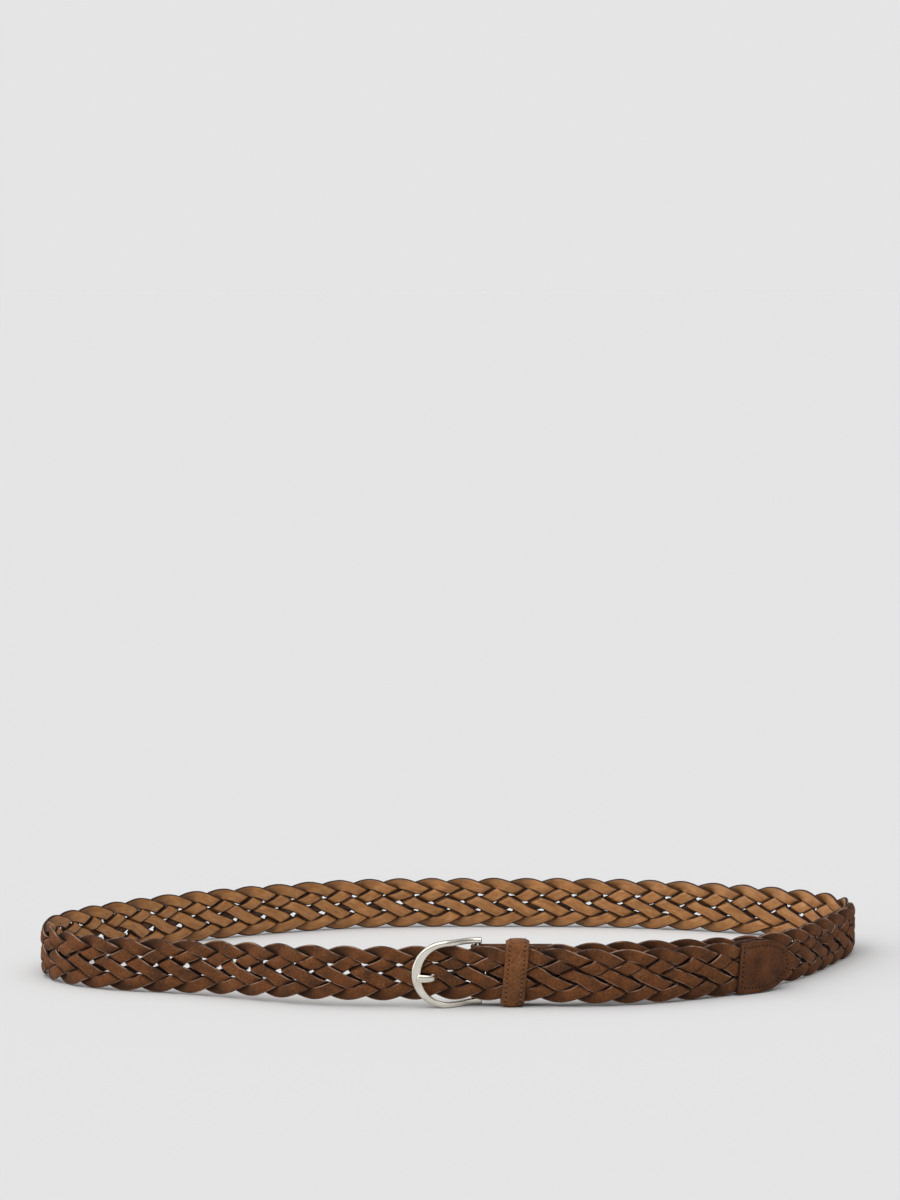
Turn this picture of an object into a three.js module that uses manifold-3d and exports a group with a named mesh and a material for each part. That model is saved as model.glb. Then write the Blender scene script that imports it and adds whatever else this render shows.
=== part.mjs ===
// A narrow belt braided from six flat leather strands, buckled in a loop that stands on its lower edge.
// Millimetres, +Z up. The buckle is at the front (-Y) and the belt's outer face looks away from the loop.
// Along the belt a place is (along, up, out): the distance from the start of the route, the height above the
// belt's middle line and the distance outwards from its middle layer.
import * as THREE from "three";
import { mergeVertices } from "three/addons/utils/BufferGeometryUtils.js";
import Module from "manifold-3d";

const degree = Math.PI / 180;

// The loop as it lies. Distances across are measured from its middle, to the right.
const loopWidth = 388;
const loopDepth = 213;
const clearance = 0.3; // between pieces that meet

// The braid: flat strands, each going down and up across the belt once in a period
const strandWidth = 5.3;
const strandThickness = 1.6;
const strandSpacing = 1.9; // the slit between two strands that run side by side
const braidAngle = 26.8 * degree; // of a strand to the belt's length, at the belt's middle
const turnSharpness = 0.93; // 0 turns a strand round at the edges as a sine does, 1 as a zigzag does
const crossingGap = 0.15; // past a crossing strand's edge before a strand leaves its layer
const rowLayers = [1, -1, 1, 1, -1]; // 1 over and -1 under, for a strand on its way down, top row first
const braidStartPastBar = 9; // where the strands' first ends lie in the chape

// The buckle: a horseshoe frame whose arms bend back to the bar
const frameLeft = -17.7; // the outer face of the crosspiece, across
const barAcross = 12.7;
const frameFace = 4.4; // width of the crosspiece, seen from the front
const frameRound = 16.7; // length of the rounded end, to where the arms begin
const frameFlat = 14.2; // from the crosspiece's outer face to where the arms start to bend back
const armHeight = 2.6; // of an arm, where it leaves the rounded end
const armEndHeight = 2;
const armPastBar = 0.9;
const frameThickness = 3;
const frameBevel = 0.8;
const barDiameter = 3.4;

// The prong, and the slit in the braid that it comes through
const prongWidth = 3.4;
const prongThickness = 2;
const prongRingWall = 1.2;
const prongPassFromFrame = 10.6; // from the crosspiece's outer face to where the prong comes through
const prongRamp = 4; // half the length of its way through
const prongEndFromFrame = 2.3; // from the crosspiece's outer face to the prong's end
const prongEndRound = 0.9;
const slitRaise = 2.5; // how far the prong lifts the slit
const slitSpread = 3.1; // half the slit's length along the belt
const slitReach = 8; // how far round the slit the strands give way

// The leather parts
const chapeThickness = 1.3;
const chapeHeight = 24;
const chapeLength = 34; // from the bar's axis
const slotClearance = 0.4; // round the prong's ring
const keeperThickness = 1.5;
const keeperWidth = 10.3;
const keeperAcross = 29.5; // its middle
const keeperSlack = 1.3; // over the chape's upper edge
const keeperLean = 5.3 * degree;
const keeperCorner = 3.5;
const freeLength = 97; // of the braid between the keeper and the tip, measured across
const tipThickness = 1.2;
const tipLength = 31.5;
const tipHeight = 24;
const tipLean = 6 * degree;
const tipHold = 9; // how far the strands reach into the tip

// What follows from these
const rows = rowLayers.length;
const lobePitch = (strandWidth + strandSpacing) / Math.sin(braidAngle);
const braidPeriod = (rows + 1) * lobePitch;
const turnAngle = Math.asin(turnSharpness);
const braidReach = (Math.tan(braidAngle) * braidPeriod * turnAngle) / (2 * Math.PI * turnSharpness);
const braidHeight = 2 * braidReach + strandWidth;
const layerStep = strandThickness + clearance;
const braidThickness = strandThickness + layerStep;
const frameHeight = braidHeight + 2 * (clearance + armHeight);
const buckleHeight = frameHeight / 2; // the buckle's middle above the surface
const buckleLift = buckleHeight - braidHeight / 2; // how far the buckle raises the belt
const chapeGap = Math.max(barDiameter, braidThickness) + 2 * clearance; // between the chape's two plies
const chapeFold = chapeGap / 2 + chapeThickness; // outer radius of the fold
const chapeOut = braidThickness / 2 + clearance; // the outer layer's middle to the chape's near face
const barBehind = chapeOut + chapeFold; // the outer layer's middle to the bar's axis
const chapeEnd = barAcross + chapeLength;
const prongRing = barDiameter / 2 + clearance + prongRingWall; // outer radius
const keeperHeight = buckleHeight + chapeHeight / 2 + keeperSlack + keeperThickness;
const tipAcross = keeperAcross + keeperWidth / 2 + freeLength; // middle of its straight edge

// The loop seen from above, in order from the chape. across is a share of half the loop's width, back a share
// of its depth behind the outer layer's middle at the buckle, and lift a share of buckleLift.
const loopPlan = [
  { across: 0.32, back: 0.04, lift: 0.95 },
  { across: 0.385, back: 0.065, lift: 0.85 },
  { across: 0.465, back: 0.1, lift: 0.65 },
  { across: 0.55, back: 0.125, lift: 0.45 },
  { across: 0.63, back: 0.155, lift: 0.3 },
  { across: 0.71, back: 0.195, lift: 0.15 },
  { across: 0.775, back: 0.245, lift: 0.05 },
  { across: 0.84, back: 0.315, lift: 0 },
  { across: 0.9, back: 0.41, lift: 0 },
  { across: 0.955, back: 0.52, lift: 0 },
  { across: 1, back: 0.62, lift: 0 },
  { across: 1.005, back: 0.705, lift: 0 },
  { across: 0.96, back: 0.78, lift: 0 },
  { across: 0.865, back: 0.85, lift: 0 },
  { across: 0.75, back: 0.905, lift: 0 },
  { across: 0.59, back: 0.955, lift: 0 },
  { across: 0.4, back: 0.99, lift: 0 },
  { across: 0.15, back: 1, lift: 0 },
  { across: -0.1, back: 0.995, lift: 0 },
  { across: -0.26, back: 0.975, lift: 0 },
  { across: -0.42, back: 0.92, lift: 0 },
  { across: -0.57, back: 0.85, lift: 0 },
  { across: -0.71, back: 0.765, lift: 0 },
  { across: -0.825, back: 0.67, lift: 0 },
  { across: -0.93, back: 0.56, lift: 0 },
  { across: -0.985, back: 0.44, lift: 0 },
  { across: -0.975, back: 0.335, lift: 0 },
  { across: -0.905, back: 0.245, lift: 0 },
  { across: -0.8, back: 0.19, lift: 0 },
  { across: -0.67, back: 0.155, lift: 0.1 },
  { across: -0.55, back: 0.115, lift: 0.4 },
  { across: -0.43, back: 0.06, lift: 0.7 },
  { across: -0.32, back: 0.018, lift: 0.93 },
];
// The free end past the keeper, in the same shares
const tipPlan = [
  { across: 0.34, back: 0.003, lift: 0.45 },
  { across: 0.43, back: 0.02, lift: 0.25 },
  { across: 0.52, back: 0.052, lift: 0.12 },
  { across: 0.61, back: 0.097, lift: 0.05 },
  { across: 0.7, back: 0.148, lift: 0 },
  { across: 0.84, back: 0.23, lift: 0 },
];
const straightEnd = 4; // of the inner layer past the chape's ends
const straightLead = 20; // of the outer layer before the buckle
const keeperDip = 0.75; // the outer layer's lift as it leaves the keeper, a share of buckleLift

function planPoint({ across, back, lift }) {
  return new THREE.Vector3((across * loopWidth) / 2, back * loopDepth, braidHeight / 2 + lift * buckleLift);
}

// The middle line of the belt: straight in the chape, round the loop, straight through the buckle to the tip
function makeRoute() {
  const innerRun = [barAcross - straightEnd, keeperAcross, chapeEnd - straightEnd, chapeEnd + straightEnd];
  const outerRun = [
    { x: frameLeft - straightLead, lift: 1 },
    { x: frameLeft, lift: 1 },
    { x: barAcross, lift: 1 },
    { x: keeperAcross, lift: (1 + keeperDip) / 2 },
    { x: keeperAcross + keeperWidth, lift: keeperDip },
  ];
  const points = innerRun.map((x) => new THREE.Vector3(x, barBehind, buckleHeight));
  points.push(...loopPlan.map(planPoint));
  points.push(...outerRun.map(({ x, lift }) => new THREE.Vector3(x, 0, braidHeight / 2 + lift * buckleLift)));
  points.push(...tipPlan.map(planPoint));
  const [before, last] = points.slice(-2);
  points.push(last.clone().add(last.clone().sub(before).setLength(tipLength)));
  const curve = new THREE.CatmullRomCurve3(points, false, "centripetal");
  curve.arcLengthDivisions = 3000;
  return curve;
}

const route = makeRoute();
const routeLength = route.getLength();

// The point that is (along, up, out) on the belt
function onBelt(along, up, out) {
  const share = along / routeLength;
  const middle = route.getPointAt(share);
  const heading = route.getTangentAt(share).setZ(0).normalize();
  return new THREE.Vector3(middle.x + heading.y * out, middle.y - heading.x * out, middle.z + up);
}

// Distance along the route of the outer layer where it passes a distance across
function outerAlong(across) {
  let low = routeLength * 0.7;
  let high = routeLength;
  while (high - low > 0.001) {
    const middle = (low + high) / 2;
    if (route.getPointAt(middle / routeLength).x < across) low = middle;
    else high = middle;
  }
  return low;
}

const braidStart = braidStartPastBar + straightEnd;
const tipStart = outerAlong(tipAcross);
const braidEnd = tipStart + tipHold;
const prongPass = outerAlong(frameLeft + prongPassFromFrame);

// A strand's height on the belt, and how fast it falls, at a distance from its topmost turn
function strandUp(distance) {
  const turn = (2 * Math.PI * distance) / braidPeriod;
  return (braidReach * Math.asin(turnSharpness * Math.cos(turn))) / turnAngle;
}
function strandFall(distance) {
  const turn = (2 * Math.PI * distance) / braidPeriod;
  const rise = (braidReach * turnSharpness * Math.sin(turn)) / turnAngle;
  return (rise * 2 * Math.PI) / braidPeriod / Math.sqrt(1 - (turnSharpness * Math.cos(turn)) ** 2);
}

// The prong lifts a slit between the strands and spreads it, and the strands round it give way
const slitUp = strandUp(2 * lobePitch);
function roundProng(along, up) {
  const away = Math.hypot(along - prongPass, up - slitUp);
  if (away > 4 * slitReach) return { along, up };
  const fade = Math.exp(-((away / slitReach) ** 2));
  const spread = away > 0 ? Math.hypot(away, slitSpread * fade) / away : 1;
  return {
    along: prongPass + (along - prongPass) * spread,
    up: slitUp + slitRaise * fade + (up - slitUp) * spread,
  };
}

// One period of a strand as cross-sections: a pair at each crossing, cut parallel to the strand that it crosses,
// and one at each turn. layer is 1 on the outer layer and -1 on the inner.
function periodSections() {
  const sections = [];
  for (let pass = 0; pass < 2; pass++) {
    const rising = pass === 1;
    const base = pass * (rows + 1);
    sections.push({ distance: (base * lobePitch) / 2, layer: 0, lean: 0, half: strandWidth / 2 });
    for (let row = 1; row <= rows; row++) {
      const distance = ((base + row) * lobePitch) / 2;
      const layerAt = (r) => (rising ? -rowLayers[rows - r] : rowLayers[r - 1]);
      const layer = layerAt(row);
      const angle = Math.atan(Math.abs(strandFall(distance)));
      const lean = (strandWidth / (4 * Math.sin(angle))) * (rising ? -1 : 1);
      const half = strandWidth / (4 * Math.cos(angle));
      const reach = (strandWidth + crossingGap) / (4 * Math.sin(angle));
      const sameBefore = row > 1 && layerAt(row - 1) === layer;
      const sameAfter = row < rows && layerAt(row + 1) === layer;
      if (!sameBefore) sections.push({ distance: distance - reach, layer, lean, half });
      if (sameAfter) sections.push({ distance: distance + lobePitch / 4, layer, lean, half });
      else sections.push({ distance: distance + reach, layer, lean, half });
    }
  }
  return sections;
}

// A closed solid through rings of equal corner counts, each going anticlockwise about the way the solid runs
function loft(rings) {
  const corners = rings[0].length;
  const index = [];
  for (let i = 0; i + 1 < rings.length; i++) {
    for (let c = 0; c < corners; c++) {
      const next = (c + 1) % corners;
      const [a, b] = [i * corners + c, i * corners + next];
      const [d, e] = [a + corners, b + corners];
      const falling = rings[i][next].distanceTo(rings[i + 1][c]);
      const rising = rings[i][c].distanceTo(rings[i + 1][next]);
      if (falling <= rising) index.push(a, b, d, b, e, d);
      else index.push(a, b, e, a, e, d);
    }
  }
  const last = (rings.length - 1) * corners;
  for (let c = 1; c + 1 < corners; c++) {
    index.push(0, c + 1, c, last, last + c, last + c + 1);
  }
  const geometry = new THREE.BufferGeometry().setFromPoints(rings.flat());
  geometry.setIndex(index);
  return geometry;
}

// Four corners round a flat section of leather, from its lower edge to its upper
function flatSection(lower, upper, out, thickness) {
  const [inside, outside] = [out - thickness / 2, out + thickness / 2];
  return [
    onBelt(lower.along, lower.up, inside),
    onBelt(upper.along, upper.up, inside),
    onBelt(upper.along, upper.up, outside),
    onBelt(lower.along, lower.up, outside),
  ];
}

// The strand's topmost turns are set so that the prong comes through between two strands
function strandGeometry(number) {
  const sections = [];
  const slitTurn = prongPass + (number - 1.5) * lobePitch;
  const firstTurn = slitTurn - Math.ceil((slitTurn - braidStart) / braidPeriod + 1) * braidPeriod;
  for (let turn = firstTurn; turn < braidEnd; turn += braidPeriod) {
    periodSections().forEach(({ distance, layer, lean, half }) => {
      const along = turn + distance;
      if (along < braidStart || along > braidEnd) return;
      const up = strandUp(distance);
      const lower = roundProng(along - lean, up - half);
      const upper = roundProng(along + lean, up + half);
      sections.push(flatSection(lower, upper, (layer * layerStep) / 2, strandThickness));
    });
  }
  return loft(sections);
}

// The tip from its straight edge to its point: share of its length, height as a share of tipHeight, and open, the
// share of the braid's thickness that keeps its two plies apart
const tipOutline = [
  { share: 0, height: 0.97, open: 1 },
  { share: 0.25, height: 1, open: 1 },
  { share: 0.5, height: 0.98, open: 1 },
  { share: 0.66, height: 0.9, open: 0.55 },
  { share: 0.8, height: 0.74, open: 0.1 },
  { share: 0.91, height: 0.53, open: 0 },
  { share: 0.98, height: 0.29, open: 0 },
  { share: 1, height: 0.1, open: 0 },
];
function tipPly(side) {
  const sections = tipOutline.map(({ share, height, open }) => {
    const along = tipStart + share * tipLength;
    const lean = (tipHeight / 2) * Math.tan(tipLean) * (1 - share);
    const up = (height * tipHeight) / 2;
    const near = (clearance + open * (braidThickness + clearance)) / 2;
    const lower = { along: along - lean, up: -up };
    return flatSection(lower, { along: along + lean, up }, side * (near + tipThickness / 2), tipThickness);
  });
  return loft(sections);
}

const wasm = await Module();
wasm.setup();
function toSolid(geometry) {
  const bare = new THREE.BufferGeometry().setAttribute("position", geometry.getAttribute("position"));
  bare.setIndex(geometry.index);
  const merged = mergeVertices(bare, 1e-4);
  return new wasm.Manifold(
    new wasm.Mesh({
      numProp: 3,
      vertProperties: merged.attributes.position.array,
      triVerts: new Uint32Array(merged.index.array),
    }),
  );
}
function fromSolid(solid) {
  const { vertProperties, triVerts } = solid.getMesh();
  const geometry = new THREE.BufferGeometry();
  geometry.setAttribute("position", new THREE.Float32BufferAttribute(vertProperties, 3));
  geometry.setIndex(Array.from(triVerts));
  return geometry;
}

// The frame's middle behind the outer layer's middle: in front of the braid at the crosspiece, and bending back
// along the arms to the bar
const frameFront = -(braidThickness / 2 + clearance + frameThickness / 2);
function frameBehind(across) {
  const bendStart = frameLeft + frameFlat;
  const share = THREE.MathUtils.clamp((across - bendStart) / (barAcross - bendStart), 0, 1);
  return frameFront + (barBehind - frameFront) * (0.5 - 0.5 * Math.cos(Math.PI * share));
}

// The horseshoe's outline, held in by frameBevel: round at the crosspiece, with arms that get lower to their ends
function frameShape() {
  const outer = frameHeight / 2 - frameBevel;
  const inner = braidHeight / 2 + clearance + frameBevel;
  const armStart = frameLeft + frameRound;
  const armEnd = barAcross + armPastBar - frameBevel;
  const armDrop = armHeight - armEndHeight;
  const outerReach = frameRound - frameBevel;
  const innerReach = frameRound - frameFace + frameBevel;
  const armSteps = [0, 0.25, 0.5, 0.75, 1];
  const roundSteps = Array.from({ length: 15 }, (_, i) => Math.PI / 2 + (Math.PI * (i + 1)) / 16);
  const armOut = armSteps.map((share) => [armStart + share * (armEnd - armStart), outer - armDrop * share]);
  const armIn = armSteps.map((share) => [armStart + share * (armEnd - armStart), inner]);
  const below = ([x, y]) => [x, -y];
  const points = [
    ...armOut.toReversed(),
    ...roundSteps.map((a) => [armStart + outerReach * Math.cos(a), outer * Math.sin(a)]),
    ...armOut.map(below),
    ...armIn.map(below).reverse(),
    ...roundSteps.map((a) => [armStart + innerReach * Math.cos(a), inner * Math.sin(a)]).reverse(),
    ...armIn,
  ];
  return new THREE.Shape(points.map(([x, y]) => new THREE.Vector2(x, y)));
}

function frameGeometry() {
  const flat = new THREE.ExtrudeGeometry(frameShape(), {
    depth: frameThickness - 2 * frameBevel,
    bevelThickness: frameBevel,
    bevelSize: frameBevel,
    bevelSegments: 1,
    curveSegments: 1,
  });
  flat.translate(0, 0, frameBevel - frameThickness / 2).rotateX(Math.PI / 2);
  const place = flat.getAttribute("position");
  for (let i = 0; i < place.count; i++) {
    place.setY(i, place.getY(i) + frameBehind(place.getX(i)));
  }
  const barLength = braidHeight + 2 * clearance + armHeight;
  const bar = new THREE.CylinderGeometry(barDiameter / 2, barDiameter / 2, barLength, 12);
  bar.rotateX(Math.PI / 2).translate(barAcross, barBehind, 0);
  return fromSolid(toSolid(flat).add(toSolid(bar))).translate(0, 0, buckleHeight);
}

// The chape in the plan: front ply, the fold round the bar and back ply, with a slot for the prong's ring
function chapeGeometry() {
  const inside = chapeGap / 2;
  const shape = new THREE.Shape();
  shape.moveTo(chapeLength, -chapeFold);
  shape.lineTo(chapeLength, -inside);
  shape.lineTo(0, -inside);
  shape.absarc(0, 0, inside, -Math.PI / 2, Math.PI / 2, true);
  shape.lineTo(chapeLength, inside);
  shape.lineTo(chapeLength, chapeFold);
  shape.lineTo(0, chapeFold);
  shape.absarc(0, 0, chapeFold, Math.PI / 2, -Math.PI / 2, false);
  const strip = new THREE.ExtrudeGeometry(shape, { depth: chapeHeight, bevelEnabled: false, curveSegments: 8 });
  strip.translate(0, 0, -chapeHeight / 2);
  const slotEnd = prongRing + clearance;
  const slotStart = -2 * chapeFold;
  const slot = new THREE.BoxGeometry(slotEnd - slotStart, 3 * chapeFold, prongWidth + 2 * slotClearance);
  slot.translate((slotStart + slotEnd) / 2, 0, 0);
  const cut = fromSolid(toSolid(strip).subtract(toSolid(slot)));
  return cut.translate(barAcross, barBehind, buckleHeight);
}

// The keeper's loop across the belt, leaning along it
function keeperGeometry() {
  const front = -braidThickness / 2 - clearance - keeperThickness;
  const back = barBehind + chapeFold + clearance + keeperThickness;
  const outline = (path, inset) => {
    const corner = keeperCorner - inset;
    const [left, right] = [front + inset + corner, back - inset - corner];
    const [low, high] = [inset + corner, keeperHeight - inset - corner];
    path.absarc(right, low, corner, -Math.PI / 2, 0, false);
    path.absarc(right, high, corner, 0, Math.PI / 2, false);
    path.absarc(left, high, corner, Math.PI / 2, Math.PI, false);
    path.absarc(left, low, corner, Math.PI, 1.5 * Math.PI, false);
    return path;
  };
  const shape = outline(new THREE.Shape(), 0);
  shape.holes.push(outline(new THREE.Path(), keeperThickness));
  const loop = new THREE.ExtrudeGeometry(shape, { depth: keeperWidth, bevelEnabled: false, curveSegments: 4 });
  loop.translate(0, 0, -keeperWidth / 2);
  const [x, y, z] = [0, 1, 2].map((axis) => new THREE.Vector3().setComponent(axis, 1));
  loop.applyMatrix4(new THREE.Matrix4().makeBasis(y, z, x));
  const lean = new THREE.Matrix4().makeShear(0, 0, 0, 0, Math.tan(keeperLean), 0);
  loop.translate(0, 0, -keeperHeight / 2).applyMatrix4(lean);
  return loop.translate(keeperAcross, 0, keeperHeight / 2);
}

// The blade's section as shares of its half width and half thickness: flat behind and bevelled in front
const bladeCorners = [
  { up: 0.85, back: 1 },
  { up: -0.85, back: 1 },
  { up: -1, back: -0.35 },
  { up: -0.6, back: -1 },
  { up: 0.6, back: -1 },
  { up: 1, back: -0.35 },
];
// The blade's way through the slit: across as a share of prongRamp from the slit's middle, and back as a share of
// the way from the crosspiece's front to behind the braid
const prongWay = [
  { across: 1.05, back: 1 },
  { across: 0.425, back: 0.9 },
  { across: -0.475, back: 0.1 },
  { across: -0.95, back: 0 },
];

// The prong: a ring round the bar and a blade that runs behind the outer layer, comes through the slit and rests
// on the crosspiece
function prongGeometry() {
  const ringShape = new THREE.Shape().absarc(0, 0, prongRing, 0, 2 * Math.PI, false);
  ringShape.holes.push(new THREE.Path().absarc(0, 0, prongRing - prongRingWall, 0, 2 * Math.PI, false));
  const ring = new THREE.ExtrudeGeometry(ringShape, { depth: prongWidth, bevelEnabled: false, curveSegments: 16 });
  ring.translate(barAcross, barBehind, buckleHeight - prongWidth / 2);
  const behind = braidThickness / 2 + clearance + prongThickness / 2;
  const onFrame = frameFront - frameThickness / 2 - clearance - prongThickness / 2;
  const pass = frameLeft + prongPassFromFrame;
  const end = frameLeft + prongEndFromFrame;
  const slitHeight = buckleHeight + slitUp + slitRaise;
  const spine = [
    { across: barAcross - barDiameter / 2, y: behind, height: buckleHeight, size: 1 },
    ...prongWay.map(({ across, back }) => ({
      across: pass + across * prongRamp,
      y: onFrame + back * (behind - onFrame),
      height: slitHeight,
      size: 1,
    })),
    { across: end + prongEndRound, y: onFrame, height: slitHeight, size: 0.95 },
    { across: end, y: onFrame, height: slitHeight, size: 0.6 },
  ];
  const middles = spine.map(({ across, y, height }) => new THREE.Vector3(across, y, height));
  const rings = spine.map(({ size }, i) => {
    const from = middles[Math.max(i - 1, 0)];
    const to = middles[Math.min(i + 1, middles.length - 1)];
    const heading = to.clone().sub(from).normalize();
    const upward = new THREE.Vector3(0, 0, 1);
    const backward = heading.clone().cross(upward).normalize();
    const [wide, thick] = [(prongWidth / 2) * size, (prongThickness / 2) * (0.5 + size / 2)];
    return bladeCorners.map(({ up, back }) =>
      middles[i].clone().addScaledVector(upward, up * wide).addScaledVector(backward, back * thick),
    );
  });
  return fromSolid(toSolid(ring).add(toSolid(loft(rings))));
}

const belt = new THREE.Group();
belt.name = "braided_belt";
function addPiece(name, geometry, material) {
  const mesh = new THREE.Mesh(geometry, material);
  mesh.name = name;
  geometry.computeVertexNormals();
  belt.add(mesh);
}

const nubuck = new THREE.MeshStandardMaterial({ color: 0x6b4128, roughness: 0.85 });
const nickel = new THREE.MeshStandardMaterial({ color: 0xc9c4ba, roughness: 0.3, metalness: 1 });

for (let number = 0; number < rows + 1; number++) {
  addPiece(`strand_${number + 1}`, strandGeometry(number), nubuck);
}
addPiece("tip_front", tipPly(1), nubuck);
addPiece("tip_back", tipPly(-1), nubuck);
addPiece("chape", chapeGeometry(), nubuck);
addPiece("keeper", keeperGeometry(), nubuck);
addPiece("buckle_frame", frameGeometry(), nickel);
addPiece("prong", prongGeometry(), nickel);

// The part's origin is under the middle of the loop
const extent = new THREE.Box3().setFromObject(belt, true);
const middle = extent.getCenter(new THREE.Vector3());
belt.position.set(-middle.x, -middle.y, -extent.min.z);

export default belt;
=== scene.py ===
import bpy
import math
import numpy as np
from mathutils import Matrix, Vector


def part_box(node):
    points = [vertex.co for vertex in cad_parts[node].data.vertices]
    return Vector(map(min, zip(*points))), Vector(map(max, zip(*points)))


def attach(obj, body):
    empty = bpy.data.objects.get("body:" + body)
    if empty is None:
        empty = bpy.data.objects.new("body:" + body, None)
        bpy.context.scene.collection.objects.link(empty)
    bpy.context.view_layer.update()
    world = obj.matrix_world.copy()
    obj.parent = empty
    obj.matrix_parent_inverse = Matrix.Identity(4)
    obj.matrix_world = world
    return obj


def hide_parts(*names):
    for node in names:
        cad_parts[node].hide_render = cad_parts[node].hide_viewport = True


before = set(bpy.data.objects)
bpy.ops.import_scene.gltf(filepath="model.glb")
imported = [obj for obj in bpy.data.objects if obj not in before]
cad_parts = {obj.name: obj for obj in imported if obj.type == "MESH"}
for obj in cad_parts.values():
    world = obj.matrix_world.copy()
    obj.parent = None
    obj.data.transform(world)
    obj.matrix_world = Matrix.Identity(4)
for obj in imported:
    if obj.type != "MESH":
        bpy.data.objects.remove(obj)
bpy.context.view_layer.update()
mm = 0.001
print("frame loaded")

# camera, at the height and distance that the photo was taken from

photoView = {
    "imageHeight": 1200,  # pixels
    "focalPixels": 3960,
    "place": (-0.002, -1.8787, 0.3432),
    "pitchDown": 5.08,  # degrees
}


def addCamera(view):
    lens = bpy.data.cameras.new("photoCamera")
    lens.sensor_fit = "AUTO"
    lens.sensor_width = 36  # on the picture's long side
    lens.lens = view["focalPixels"] / view["imageHeight"] * lens.sensor_width
    lens.clip_end = 100
    camera = bpy.data.objects.new("photoCamera", lens)
    camera.location = view["place"]
    camera.rotation_euler = (math.radians(90 - view["pitchDown"]), 0, 0)
    bpy.context.scene.collection.objects.link(camera)
    bpy.context.scene.camera = camera


addCamera(photoView)
bpy.context.scene.view_settings.view_transform = "Standard"


# what every piece uses


def linkObject(name, data):
    made = bpy.data.objects.new(name, data)
    bpy.context.scene.collection.objects.link(made)
    return made


def meshObject(name, points=(), faces=(), materials=(), edges=(), smooth=True):
    mesh = bpy.data.meshes.new(name)
    mesh.from_pydata([tuple(p) for p in points], edges, faces)
    for material in materials:
        mesh.materials.append(material)
    if smooth:
        mesh.shade_smooth()
    mesh.update()
    return linkObject(name, mesh)


def lineObject(name, points):
    curve = bpy.data.curves.new(name, "CURVE")
    curve.dimensions = "3D"
    spline = curve.splines.new("POLY")
    spline.points.add(len(points) - 1)
    spline.points.foreach_set("co", np.column_stack([points, np.ones(len(points))]).ravel())
    return linkObject(name, curve)


# a closed skin over rings of points, each ring anticlockwise about the way that the rings run
def loftFaces(ringCount, pointCount, closed):
    faces = []
    for i in range(ringCount if closed else ringCount - 1):
        here, there = i * pointCount, (i + 1) % ringCount * pointCount
        for c in range(pointCount):
            after = (c + 1) % pointCount
            faces.append((here + c, here + after, there + after, there + c))
    if not closed:
        faces.append(tuple(range(pointCount))[::-1])
        faces.append(tuple((ringCount - 1) * pointCount + c for c in range(pointCount)))
    return faces


def loftObject(name, rings, material, closed=False):
    rings = np.asarray(rings)
    faces = loftFaces(len(rings), rings.shape[1], closed)
    return meshObject(name, rings.reshape(-1, 3), faces, [material])


def applyModifiers(made):
    depsgraph = bpy.context.evaluated_depsgraph_get()
    mesh = bpy.data.meshes.new_from_object(made.evaluated_get(depsgraph))
    made.modifiers.clear()
    made.data = mesh
    mesh.name = made.name


def dropEmptySlots(made):
    materials = list(made.data.materials)
    faces = np.zeros(len(made.data.polygons), np.int32)
    made.data.polygons.foreach_get("material_index", faces)
    kept = sorted({m.name: m for m in materials if m}.values(), key=materials.index)
    order = np.array([kept.index(m) if m else 0 for m in materials], np.int32)
    made.data.materials.clear()
    for material in kept:
        made.data.materials.append(material)
    made.data.polygons.foreach_set("material_index", order[faces])


def dress(made, slot, *nodes):
    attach(made, "root")
    if nodes:
        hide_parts(*nodes)


# a smooth line through points, in spans that are even in the root of their length
def smoothLine(points, perSpan=40):
    points = np.asarray(points, float)
    ends = np.vstack([2 * points[0] - points[1], points, 2 * points[-1] - points[-2]])
    gaps = np.sqrt(np.linalg.norm(np.diff(ends, axis=0), axis=1))
    t = np.linspace(0, 1, perSpan, endpoint=False)[:, None]
    spans = []
    for i in range(1, len(ends) - 2):
        a, b, c, d = ends[i - 1 : i + 3]
        before, span, after = gaps[i - 1 : i + 2]
        leave = ((b - a) / before - (c - a) / (before + span) + (c - b) / span) * span
        arrive = ((c - b) / span - (d - b) / (span + after) + (d - c) / after) * span
        bend, twist = 3 * (c - b) - 2 * leave - arrive, 2 * (b - c) + leave + arrive
        spans.append(b + leave * t + bend * t**2 + twist * t**3)
    return np.vstack(spans + [points[-1:]])


# how far along a broken line each of its points is
def distances(points):
    return np.concatenate([[0], np.cumsum(np.linalg.norm(np.diff(points, axis=0), axis=1))])


def readOff(at, run, points):
    return np.stack([np.interp(at, run, column) for column in np.asarray(points).T], -1)


def evenlySpaced(points, count, closed=False):
    run = distances(points)
    return readOff(np.linspace(0, run[-1], count, endpoint=not closed), run, points)


def unit(vectors):
    return vectors / np.linalg.norm(vectors, axis=-1, keepdims=True)


# node trees


def plug(node, inputs):
    for key, value in inputs.items():
        if isinstance(value, bpy.types.NodeSocket):
            node.id_data.links.new(value, node.inputs[key])
        else:
            node.inputs[key].default_value = value


def addNode(tree, kind, inputs=None, **settings):
    node = tree.nodes.new(kind)
    for key, value in settings.items():
        setattr(node, key, value)
    plug(node, inputs or {})
    return node


def outputOf(tree, kind, inputs=None, **settings):
    return addNode(tree, kind, inputs, **settings).outputs[0]


def treeOf(*values):
    return next(value.id_data for value in values if isinstance(value, bpy.types.NodeSocket))


# sums made of nodes, in the tree of the values that are sockets
def calc(operation, *values, kind="ShaderNodeMath"):
    return outputOf(treeOf(*values), kind, dict(enumerate(values)), operation=operation)


def plus(first, second):
    return calc("ADD", first, second)


def minus(first, second):
    return calc("SUBTRACT", first, second)


def over(first, second):
    return calc("DIVIDE", first, second)


def times(*values):
    product = values[0]
    for value in values[1:]:
        product = calc("MULTIPLY", product, value)
    return product


def hypotenuse(first, second):
    return calc("SQRT", plus(times(first, first), times(second, second)))


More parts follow.
